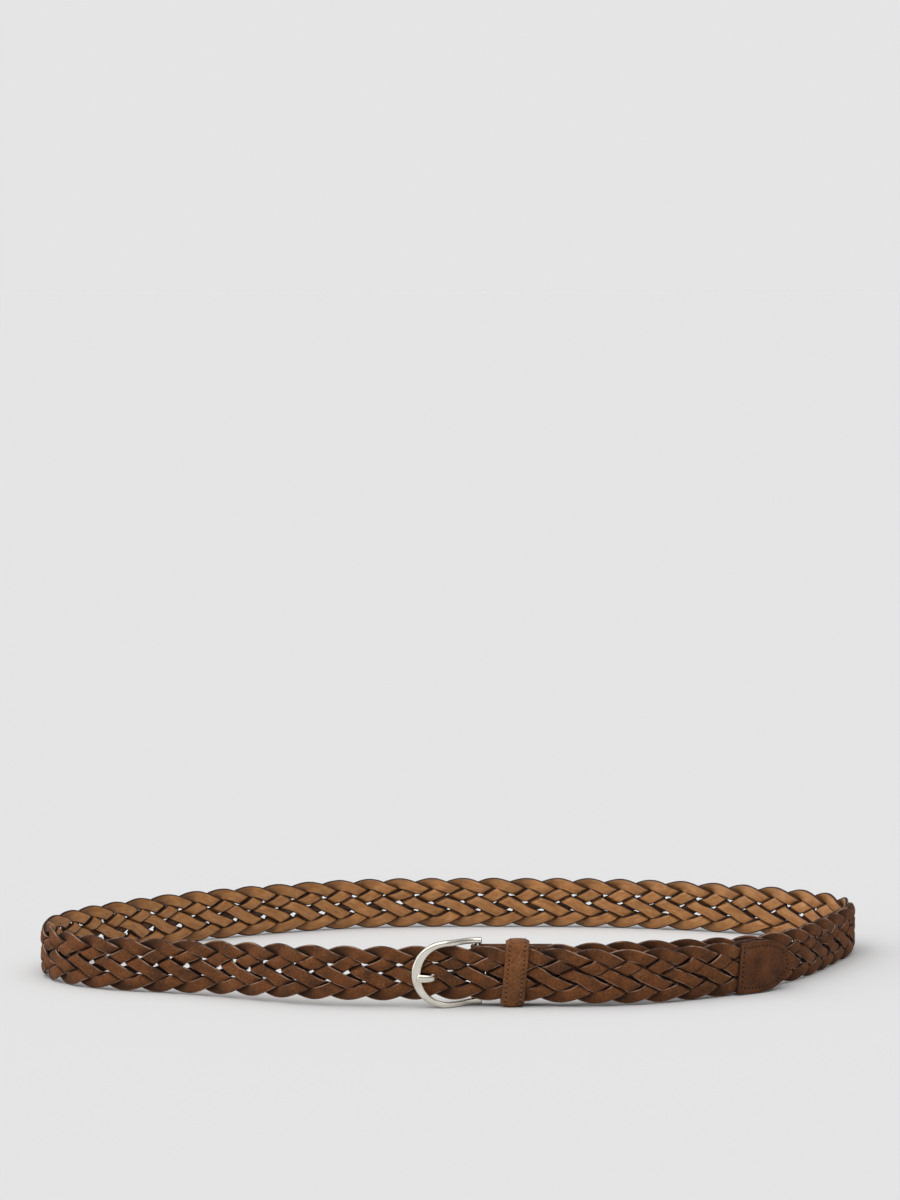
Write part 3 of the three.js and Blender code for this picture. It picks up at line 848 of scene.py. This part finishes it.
def beadTree(name):
    numbers = ["start", "spacing", "length", "width", "thickness"]
    tree, given = startTree(name, {"Object": ["row"], "Float": numbers, "Material": ["finish"]})
    line = outputOf(tree, "GeometryNodeMeshToCurve", {"Mesh": pointsOf(tree, given["row"])})
    gaps = {"Curve": line, "Length": over(given["spacing"], 2.0)}
    spots = outputOf(tree, "GeometryNodeResampleCurve", gaps, mode="LENGTH")
    ahead = outputOf(tree, "GeometryNodeInputTangent")
    axes = {0: ahead, 1: storedValue(tree, "outward", "FLOAT_VECTOR")}
    named = {"primary_axis": "Z", "secondary_axis": "X"}
    turned = outputOf(tree, "FunctionNodeAxesToRotation", axes, **named)
    index = outputOf(tree, "GeometryNodeInputIndex")
    odd = calc("GREATER_THAN", calc("MODULO", plus(index, given["start"]), 2.0), 0.5)
    ball = outputOf(tree, "GeometryNodeMeshUVSphere", {"Segments": 8, "Rings": 6, "Radius": 0.5})
    sides = {0: given["thickness"], 1: given["width"], 2: given["length"]}
    size = outputOf(tree, "ShaderNodeCombineXYZ", sides)
    beads = {"Points": spots, "Selection": odd, "Instance": ball, "Rotation": turned, "Scale": size}
    placed = outputOf(tree, "GeometryNodeInstanceOnPoints", beads)
    endTree(outputOf(tree, "GeometryNodeSetShadeSmooth", {"Geometry": placed}), given["finish"])
    return tree


stitchTree = beadTree("stitchRow")


def joinObjects(name, parts):
    with bpy.context.temp_override(active_object=parts[0], selected_editable_objects=parts):
        bpy.ops.object.join()
    parts[0].name = name
    parts[0].data.name = name
    return parts[0]


# each row is its points, and points a little further out of the leather
def sew(name, rows, sizes, finish):
    parts = []
    for points, further in rows:
        row = meshObject("sewingRow", points, edges=[(k, k + 1) for k in range(len(points) - 1)])
        outward = row.data.attributes.new("outward", "FLOAT_VECTOR", "POINT")
        outward.data.foreach_set("vector", ((further - points) / mm).ravel())
        for start, bead, material in ((0.0, sizes["thread"], finish), (1.0, sizes["hole"], needleHole)):
            part = meshObject("stitches")
            given = dict(bead, row=row, start=start, spacing=sizes["spacing"], finish=material)
            growNodes(part, stitchTree, given)
            parts.append(part)
        bpy.data.objects.remove(row)
    stitches = joinObjects(name, parts)
    dropEmptySlots(stitches)
    dress(stitches, "trim_leather")


# leather cut from the sheet: a grid of points for its middle, thickened and with its edges rounded

leatherEdge = {"round": 0.38 * mm, "steps": 3}


def leatherSheet(name, grid, thickness, edge, leather, closed=False, dropped=None):
    rows, columns = grid.shape[:2]
    faces = []
    for i in range(rows if closed else rows - 1):
        for j in range(columns - 1):
            if dropped is not None and dropped[i, j]:
                continue
            here, after = i * columns + j, (i + 1) % rows * columns + j
            faces.append((here, after, after + 1, here + 1))
    made = meshObject(name, grid.reshape(-1, 3), faces, [leather, leather, paintedEdge])
    thick = made.modifiers.new("thickness", "SOLIDIFY")
    thick.thickness = thickness
    thick.offset = 0
    thick.use_even_offset = True
    thick.material_offset = 1
    thick.material_offset_rim = 2
    rounded = made.modifiers.new("roundedEdges", "BEVEL")
    rounded.width = edge["round"]
    rounded.segments = edge["steps"]
    rounded.limit_method = "ANGLE"
    rounded.angle_limit = math.radians(50)
    applyModifiers(made)
    return made


def bell(value, middle, reach):
    return np.exp(-(((value - middle) / reach) ** 2))


# the keeper: a band round both layers

keeperLook = {
    "rowInset": 1.75 * mm,
    "rowDepth": 0.2 * mm,
    "rowReach": 0.6 * mm,
    "edgeRoll": 0.45 * mm,
    "cornerRoll": 2.0 * mm,  # at the top and bottom, where the band turns
    "cornerReach": 4 * mm,
    "cornerPoints": 9,
    "step": 0.5 * mm,
}


def keeperRing(inset, count):
    corner = leatherCut["keeperCorner"] - inset
    front, back = keeperLow.y + inset + corner, keeperHigh.y - inset - corner
    low, high = keeperLow.z + inset + corner, keeperHigh.z - inset - corner
    points = []
    for quarter, (y, z) in enumerate([(back, low), (back, high), (front, high), (front, low)]):
        turn = (quarter - 1) * math.pi / 2 + np.linspace(0, math.pi / 2, keeperLook["cornerPoints"])
        points += [(y + corner * math.cos(a), z + corner * math.sin(a)) for a in turn]
    return evenlySpaced(points + points[:1], count, closed=True)


def makeKeeper(look):
    thickness, width = leatherCut["keeperThickness"], leatherCut["keeperWidth"]
    count = round(2 * (keeperHigh.z - keeperLow.z + keeperHigh.y - keeperLow.y) / look["step"])
    middleHeight = (keeperLow.z + keeperHigh.z) / 2
    middleX = (keeperLow.x + keeperHigh.x) / 2
    across = np.linspace(-width / 2, width / 2, round(width / look["step"]) + 1)
    rowAt = width / 2 - look["rowInset"]

    def place(ring, offset):
        x = middleX + offset + (ring[:, 1] - middleHeight) * math.tan(leatherCut["keeperLean"])
        return np.stack([x, ring[:, 0], ring[:, 1]], -1)

    def columnAt(offset):
        sink = look["rowDepth"] * bell(abs(offset), rowAt, look["rowReach"])
        toEdge = abs(2 * offset / width)
        ring = keeperRing(thickness / 2 + sink + toEdge**5 * look["edgeRoll"], count)
        rolled = keeperRing(thickness / 2 + sink + toEdge**4 * look["cornerRoll"], count)
        high = abs(ring[:, 1:] - middleHeight) - (keeperHigh.z - keeperLow.z) / 2 + look["cornerReach"]
        share = np.clip(high / look["cornerReach"], 0, 1) ** 2
        return place(ring * (1 - share) + rolled * share, offset)

    grid = np.stack([columnAt(offset) for offset in across], 1)
    keeper = leatherSheet("keeperBand", grid, thickness, leatherEdge, keeperNubuck, closed=True)
    dress(keeper, "trim_leather", "keeper")
    rows = []
    for side in (-1, 1):
        depth = look["rowDepth"] - stitching["proud"]
        ring, outer = (place(keeperRing(inset, 4 * count), side * rowAt) for inset in (depth, depth - mm))
        rows.append((np.vstack([ring, ring[:1]]), np.vstack([outer, outer[:1]])))
    sew("keeperStitches", rows, stitching, thread)
    print("keeper sewn")


makeKeeper(keeperLook)

# the chape: folded round the bar, slotted for the prong

chapeLook = {
    "slotHeight": 4.2 * mm,
    "slotPastBar": 3.5 * mm,
    "rowInset": 1.5 * mm,
    "rowDepth": 0.15 * mm,
    "rowReach": 0.6 * mm,
    "rowPoints": 400,
    "bendPoints": 17,
    "step": 0.6 * mm,
}


def makeChape(look):
    thickness = leatherCut["chapeThickness"]
    length = chapeEnd - barAcross
    radius = chapeFold - thickness / 2
    height = chapeHigh.z - chapeLow.z
    flatCount, bendCount = round(length / look["step"]), look["bendPoints"]
    slotColumn = round(look["slotPastBar"] / length * flatCount)
    flat = np.linspace(length, 0, flatCount, endpoint=False)
    bend = np.linspace(-math.pi / 2, -3 * math.pi / 2, bendCount)
    x = np.concatenate([flat, radius * np.cos(bend), flat[::-1]])
    y = np.concatenate([np.full(flatCount, -radius), radius * np.sin(bend), np.full(flatCount, radius)])
    normal = np.repeat([-1.0, 0.0, 1.0], [flatCount, bendCount, flatCount])
    halfSlot = look["slotHeight"] / 2
    above = np.linspace(halfSlot, height / 2, round((height / 2 - halfSlot) / look["step"]) + 1)
    levels = np.concatenate([-above[::-1], above])
    edgeRow = height / 2 - look["rowInset"]
    endRow = length - look["rowInset"]
    sink = look["rowDepth"] * np.maximum(
        bell(abs(levels)[None, :], edgeRow, look["rowReach"]),
        bell(x[:, None], endRow, look["rowReach"]) * (abs(levels)[None, :] < edgeRow),
    )
    depth = y[:, None] - normal[:, None] * sink
    grid = inRowFrame(barAcross + x[:, None], barBack + depth, buckleMiddle + levels[None, :])
    dropped = np.zeros((len(x), len(levels)), bool)
    dropped[flatCount - slotColumn : flatCount + bendCount + slotColumn - 1, len(above) - 1] = True
    chape = leatherSheet("chapeFold", grid, thickness, leatherEdge, keeperNubuck, dropped=dropped)
    dress(chape, "trim_leather", "chape")

    start = look["slotPastBar"]
    ends = np.array([(start, -edgeRow), (endRow, -edgeRow), (endRow, edgeRow), (start, edgeRow)])
    rowX, rowZ = evenlySpaced(ends, look["rowPoints"]).T
    face = chapeFold - look["rowDepth"] + stitching["proud"]
    rows = []
    for side in (-1, 1):
        backs = [barBack + side * out for out in (face, face + mm)]
        rows.append([inRowFrame(barAcross + rowX, back, buckleMiddle + rowZ) for back in backs])
    sew("chapeStitches", rows, stitching, thread)
    print("chape folded")


makeChape(chapeLook)

# the tip: two plies sewn together round the strands' ends

tipLook = {
    # share of the length, height as a share of the tip's, how far open
    "outline": [
        (0, 0.97, 1), (0.25, 1, 1), (0.5, 0.98, 1), (0.66, 0.9, 0.55),
        (0.8, 0.74, 0.1), (0.91, 0.53, 0), (0.98, 0.29, 0), (1, 0.1, 0),
    ],
    "rowInset": 2.4 * mm,
    "endInset": 1.9 * mm,
    "rowDepth": 0.16 * mm,
    "rowReach": 0.6 * mm,
    "straightPoints": 80,
    "step": 0.55 * mm,
    "outlineSteps": 30,
    "moreColumns": 1.3,
    "crowding": 1.4,  # of the columns towards the round end
    "creaseAt": 7 * mm,
    "crease": 0.22 * mm,
    "creaseEase": 0.5 * mm,
}


def tipSizes(look):
    shares, heights, opens = np.array(look["outline"]).T
    length, height = leatherCut["tipLength"], leatherCut["tipHeight"]
    outline = smoothLine(np.stack([shares * length, heights * height / 2], -1), look["outlineSteps"])

    def halfHeight(past):
        return np.interp(past, outline[:, 0], outline[:, 1])

    def near(past):
        gape = np.interp(past, shares * length, opens)
        step = look["crease"] / (1 + np.exp((past - look["creaseAt"]) / look["creaseEase"]))
        return (braidWeave["clearance"] + gape * (braidThickness + braidWeave["clearance"])) / 2 + step

    def lean(past, up):
        return up * math.tan(leatherCut["tipLean"]) * (1 - past / length)

    return outline, halfHeight, near, lean


def makeTip(look):
    thickness, length = leatherCut["tipThickness"], leatherCut["tipLength"]
    outline, halfHeight, near, lean = tipSizes(look)
    # the sewn row follows the outline from one corner to the other, and the straight edge
    edge = unit(np.diff(outline, axis=0, append=outline[-1:] + (outline[-1:] - outline[-2:-1])))
    inward = np.stack([edge[:, 1], -edge[:, 0]], -1)
    upper = outline + inward * look["rowInset"]
    upper = upper[(upper[:, 0] > look["endInset"]) & (upper[:, 1] > 0)]
    arch = np.vstack([upper * (1, -1), upper[::-1]])
    straightUp = np.linspace(upper[0, 1], -upper[0, 1], look["straightPoints"])
    straight = np.stack([np.full(len(straightUp), look["endInset"]), straightUp], -1)
    row = np.vstack([arch, straight])

    columns = round(look["moreColumns"] * length / look["step"])
    past = length * (1 - (1 - np.linspace(0, 1, columns)) ** look["crowding"])
    levels = np.linspace(-1, 1, round(leatherCut["tipHeight"] / look["step"]) + 1)
    up = halfHeight(past)[:, None] * levels[None, :]
    along = past[:, None] + lean(past[:, None], up)
    spots = np.stack([np.broadcast_to(past[:, None], up.shape), up], -1).reshape(-1, 2)
    nearest = np.full(len(spots), np.inf)
    for point in row[::2]:
        nearest = np.minimum(nearest, np.linalg.norm(spots - point, axis=1))
    sink = look["rowDepth"] * bell(nearest.reshape(up.shape), 0, look["rowReach"])
    for side, name, node in ((1, "tipFront", "tip_front"), (-1, "tipBack", "tip_back")):
        out = side * (near(past)[:, None] + thickness / 2 - sink)
        grid = onBelt(tipStart + along, up, out)
        ply = leatherSheet(name, grid if side < 0 else grid[:, ::-1], thickness, leatherEdge, tipNubuck)
        dress(ply, "trim_leather", node)
    rows = []
    for side in (1, -1):
        for part in (arch, straight):
            face = near(part[:, 0]) + thickness - look["rowDepth"] + stitching["proud"]
            along = tipStart + part[:, 0] + lean(part[:, 0], part[:, 1])
            rows.append([onBelt(along, part[:, 1], side * out) for out in (face, face + mm)])
    sew("tipStitches", rows, tipStitching, darkThread)
    print("tip sewn")


makeTip(tipLook)

# the buckle: a horseshoe of satin metal with its bar, and the prong

buckleCast = {
    "face": 4.4 * mm,
    "roundLength": 16.7 * mm,
    "flatLength": 14.2 * mm,
    "armHeight": 2.6 * mm,
    "lowerArmMore": 0.8 * mm,  # of the lower arm's height, where it is behind the braid
    "armPastBar": 1.8 * mm,
    "thickness": 3 * mm,
    "barDiameter": 3.4 * mm,
    "barEndDiameter": 2.6 * mm,  # where it joins the arms
    "barSteps": 25,
    "barSides": 32,
    "outerRound": 1.4 * mm,
    "innerRound": 0.6 * mm,
    "backRound": 0.5 * mm,
    "leastRound": 0.05 * mm,
    "armSteps": 30,
    "roundSteps": 64,
    "endSteps": 5,
}


def aroundBar(radius, angle, up):
    x, y = barAcross + radius * np.cos(angle), barBack + radius * np.sin(angle)
    return inRowFrame(x, y, buckleMiddle + up)


# a flat section from its four corners, anticlockwise from plus and plus: (across, through, radius)
def roundedSection(corners, steps=8):
    ring = []
    for k, (a, b, radius) in enumerate(corners):
        middle = (a - math.copysign(radius, a), b - math.copysign(radius, b))
        for turn in np.linspace(k * math.pi / 2, (k + 1) * math.pi / 2, steps):
            ring.append((middle[0] + radius * math.cos(turn), middle[1] + radius * math.sin(turn)))
    return np.array(ring)


def makeBuckle(cast):
    outerTop = (buckleHigh.z - buckleLow.z) / 2
    innerTop = outerTop - cast["armHeight"]
    armStart = frameLeft + cast["roundLength"]
    armEnd = barAcross + cast["armPastBar"] - cast["backRound"]
    frontBack = -(braidThickness / 2 + braidWeave["clearance"] + cast["thickness"] / 2)
    bendStart = frameLeft + cast["flatLength"]

    def depthAt(x):
        share = np.clip((x - bendStart) / (barAcross - bendStart), 0, 1)
        return frontBack + (barBack - frontBack) * (0.5 - 0.5 * np.cos(math.pi * share))

    arm = np.linspace(armEnd, armStart, cast["armSteps"], endpoint=False)
    turn = np.linspace(math.pi / 2, 3 * math.pi / 2, cast["roundSteps"])
    outerX = np.concatenate([arm, armStart + cast["roundLength"] * np.cos(turn), arm[::-1]])
    innerRound = cast["roundLength"] - cast["face"]
    innerX = np.concatenate([arm, armStart + innerRound * np.cos(turn), arm[::-1]])
    straight = np.ones(len(arm))
    outerZ = outerTop * np.concatenate([straight, np.sin(turn), -straight])
    behind = np.clip((arm - bendStart) / (barAcross - bendStart) * 2 - 1, 0, 1)
    lower = innerTop - cast["lowerArmMore"] * behind
    innerZ = np.concatenate([innerTop * straight, innerTop * np.sin(turn), -lower[::-1]])
    rings = []
    last = len(outerX) - 1
    endTurns = np.linspace(0, math.pi / 2, cast["endSteps"])
    for i in range(len(outerX)):
        outer, inner = np.array([outerX[i], outerZ[i]]), np.array([innerX[i], innerZ[i]])
        wide = np.linalg.norm(outer - inner)
        axis = (outer - inner) / wide
        insets = [(0.0, 0.0)]
        if i in (0, last):
            radius = cast["backRound"]
            insets = [(radius * (1 - math.cos(turn)), radius * math.sin(turn)) for turn in endTurns]
            insets = insets[::-1] if i == 0 else insets
        for inset, past in insets:
            half, deep = wide / 2 - inset, cast["thickness"] / 2 - inset
            back = max(cast["backRound"] - inset, cast["leastRound"])
            section = roundedSection([
                (half, deep, back), (-half, deep, back),
                (-half, -deep, cast["innerRound"] - inset), (half, -deep, cast["outerRound"] - inset),
            ])
            middle = (outer + inner) / 2
            x = middle[0] + section[:, 0] * axis[0] + past
            z = middle[1] + section[:, 0] * axis[1]
            rings.append(inRowFrame(x, depthAt(x) + section[:, 1], buckleMiddle + z))
    horseshoe = loftObject("buckleHorseshoe", rings, satinNickel)

    reach = innerTop + cast["armHeight"] / 2
    angles = np.linspace(0, 2 * math.pi, cast["barSides"], endpoint=False)
    full, thin = cast["barDiameter"] / 2, cast["barEndDiameter"] / 2
    barRings = []
    for z in np.linspace(-reach, reach, cast["barSteps"]):
        radius = full if abs(z) < (chapeHigh.z - chapeLow.z) / 2 - mm else thin
        barRings.append(aroundBar(radius, angles, z))
    bar = loftObject("buckleBar", barRings, satinNickel)
    weld(horseshoe, bar)
    dress(horseshoe, "buckle_metal", "buckle_frame")
    print("buckle cast")


def weld(first, second):
    union = first.modifiers.new("weld", "BOOLEAN")
    union.operation = "UNION"
    union.solver = "EXACT"
    union.object = second
    applyModifiers(first)
    bpy.data.objects.remove(second)
    first.data.shade_smooth()


makeBuckle(buckleCast)

prongCast = {
    "width": 3.7 * mm,
    "passWidth": 2.6 * mm,  # where it goes through the braid
    "passShift": 1.1 * mm,
    "thickness": 2 * mm,
    "ringWall": 1.2 * mm,
    "ringRound": 0.4 * mm,
    "ringSides": 48,
    "ramp": 4 * mm,
    "endFromFrame": 2.3 * mm,
    "endRound": 1.7 * mm,
    "endSteps": 8,
    "bluntness": 0.02,  # of the last section, as a share of a full one
    "squareness": 2.3,
    # shares: across, of the ramp; back, of the way from the crosspiece's front to behind the braid
    "way": [(1.05, 1), (0.425, 0.9), (-0.475, 0.1), (-0.95, 0)],
    "sectionPoints": 28,
    "stepsPerSpan": 9,
}


def makeProng(cast):
    behind = braidThickness / 2 + braidWeave["clearance"] + cast["thickness"] / 2
    frontFace = -(braidThickness / 2 + braidWeave["clearance"] + buckleCast["thickness"])
    onFrame = frontFace - braidWeave["clearance"] - cast["thickness"] / 2
    passAt = frameLeft + slitCut["pastFrame"] + cast["passShift"]
    end = frameLeft + cast["endFromFrame"]
    height = buckleMiddle + slitUp + slitCut["raise"]
    spine = [(barAcross - buckleCast["barDiameter"] / 2, behind, buckleMiddle)]
    spine += [(passAt + a * cast["ramp"], onFrame + b * (behind - onFrame), height) for a, b in cast["way"]]
    spine += [(end + cast["endRound"], onFrame, height)]
    line = smoothLine(spine, cast["stepsPerSpan"])
    heading = unit(np.gradient(line, axis=0))
    endSteps = cast["endSteps"]
    turns = np.linspace(0, math.pi / 2, endSteps + 1)[1:]
    endX = line[-1, 0] - cast["endRound"] * np.sin(turns)
    line = np.vstack([line, np.stack(np.broadcast_arrays(endX, onFrame, height), -1)])
    heading = np.vstack([heading, np.repeat(heading[-1:], endSteps, 0)])
    size = np.concatenate([np.ones(len(line) - endSteps), np.maximum(np.cos(turns), cast["bluntness"])])
    narrow = 1 - (1 - cast["passWidth"] / cast["width"]) * bell(line[:, 0], passAt, cast["ramp"])
    angles = np.linspace(0, 2 * math.pi, cast["sectionPoints"], endpoint=False)
    power = 2 / cast["squareness"]
    wide, deep = (np.sign(spot) * abs(spot) ** power / 2 for spot in (np.cos(angles), np.sin(angles)))
    rings = []
    for middle, ahead, share, slim in zip(line, heading, size, narrow):
        backward = unit(np.cross(ahead, upward))
        side = np.cross(backward, ahead)
        halfWidth, halfDepth = share * slim * cast["width"] * wide, share * cast["thickness"] * deep
        place = middle + halfWidth[:, None] * side + halfDepth[:, None] * backward
        rings.append(place + np.array([*frontMiddle, 0]))
    blade = loftObject("prongBlade", rings, satinNickel)

    # the ring round the bar, a turned section
    hole = buckleCast["barDiameter"] / 2 + braidWeave["clearance"]
    wall = cast["ringWall"]
    corners = [(x * wall / 2, z * cast["width"] / 2) for x, z in ((1, 1), (-1, 1), (-1, -1), (1, -1))]
    section = roundedSection([(*corner, cast["ringRound"]) for corner in corners], steps=4)
    radius = hole + wall / 2 + section[:, 0]
    turns = np.linspace(0, 2 * math.pi, cast["ringSides"], endpoint=False)
    rings = [aroundBar(radius, turn, section[:, 1]) for turn in turns]
    ring = loftObject("prongRing", rings, satinNickel, closed=True)
    weld(blade, ring)
    blade.name = "prongBlade"
    dress(blade, "buckle_metal", "prong")
    print("prong hung")


makeProng(prongCast)

# floor and light: a pale seamless ground, soft light from the upper left

stageLook = {
    "floorSize": 60,
    "floorGrey": 0.722,
    # by height in the sky
    "skyLevels": [(0.0, 0.783), (0.12, 0.783), (0.27, 0.15), (0.6, 0.2), (0.85, 0.95), (1.0, 1.6)],
    "skyTop": 2.0,
    # soft lights, far off: strength, angle across in degrees, where from
    "lights": [(1.3, 80, (-0.92, -0.2, 0.66)), (0.7, 60, (-0.05, -0.6, 0.9))],
}


def makeStage(look):
    half = look["floorSize"] / 2
    corners = [(-half, -half, 0), (half, -half, 0), (half, half, 0), (-half, half, 0)]
    material, tree, shader = startMaterial("paleFloor", 0.95, specular=0.0)
    plug(shader, {"Base Color": (*[look["floorGrey"]] * 3, 1)})
    floor = meshObject("floor", corners, [(0, 1, 2, 3)], [material], smooth=False)

    world = bpy.data.worlds.new("studio")
    world.use_nodes = True
    tree = world.node_tree
    sky = tree.nodes["Background"]
    direction = addNode(tree, "ShaderNodeTexCoord").outputs["Generated"]
    direction = addNode(tree, "ShaderNodeSeparateXYZ", {0: direction})
    levels = [(height, level / look["skyTop"]) for height, level in look["skyLevels"]]
    strength = times(ramp(direction.outputs[2], *levels), look["skyTop"])
    plug(sky, {"Color": (1, 1, 1, 1), "Strength": strength})
    bpy.context.scene.world = world

    for strength, angle, place in look["lights"]:
        light = bpy.data.lights.new("softLight", "SUN")
        light.energy = strength
        light.angle = math.radians(angle)
        lamp = linkObject("softLight", light)
        lamp.rotation_euler = Vector(place).to_track_quat("Z", "Y").to_euler()
    print("stage lit")


makeStage(stageLook)
